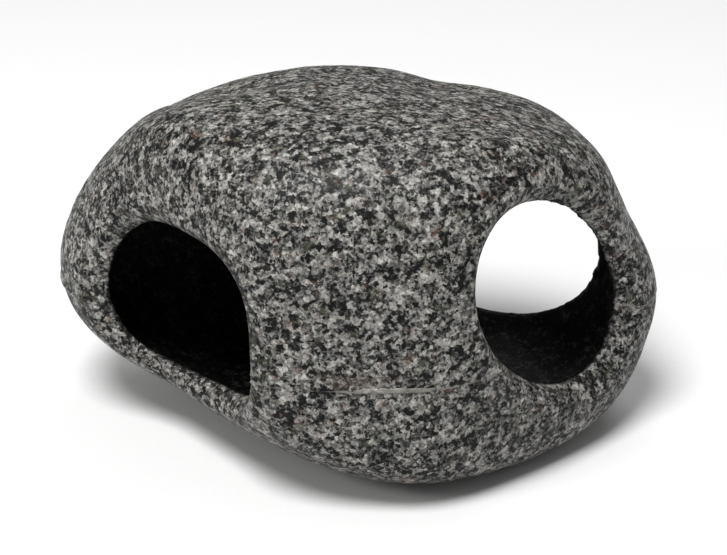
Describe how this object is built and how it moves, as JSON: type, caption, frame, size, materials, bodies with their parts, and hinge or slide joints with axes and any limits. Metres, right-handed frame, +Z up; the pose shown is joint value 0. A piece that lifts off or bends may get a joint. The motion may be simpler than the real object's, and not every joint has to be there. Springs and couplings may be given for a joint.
{
  "type": "resin cave ornament",
  "caption": "Hollow river boulder in cast resin with a granite finish and rounded doorways into one chamber, a hiding place for fish in an aquarium.",
  "frame": {"origin": "on the ground, under the middle of the boulder's box", "axes": "+X along the length with the right front doorway at its end, -Y towards the blunt front nose, +Z up"},
  "size_m": [0.2441, 0.1699, 0.1411],
  "materials": {
    "granite_resin": "cast resin printed as grey granite, semi-gloss clear coat",
    "clear_glue": "glossy cured glue"
  },
  "bodies": {
    "root": {"upper_shell": "granite_resin", "lower_shell": "granite_resin", "seam_glue_nose": "clear_glue", "seam_glue_left_end": "clear_glue", "seam_glue_right_end": "clear_glue"}
  },
  "joints": []
}
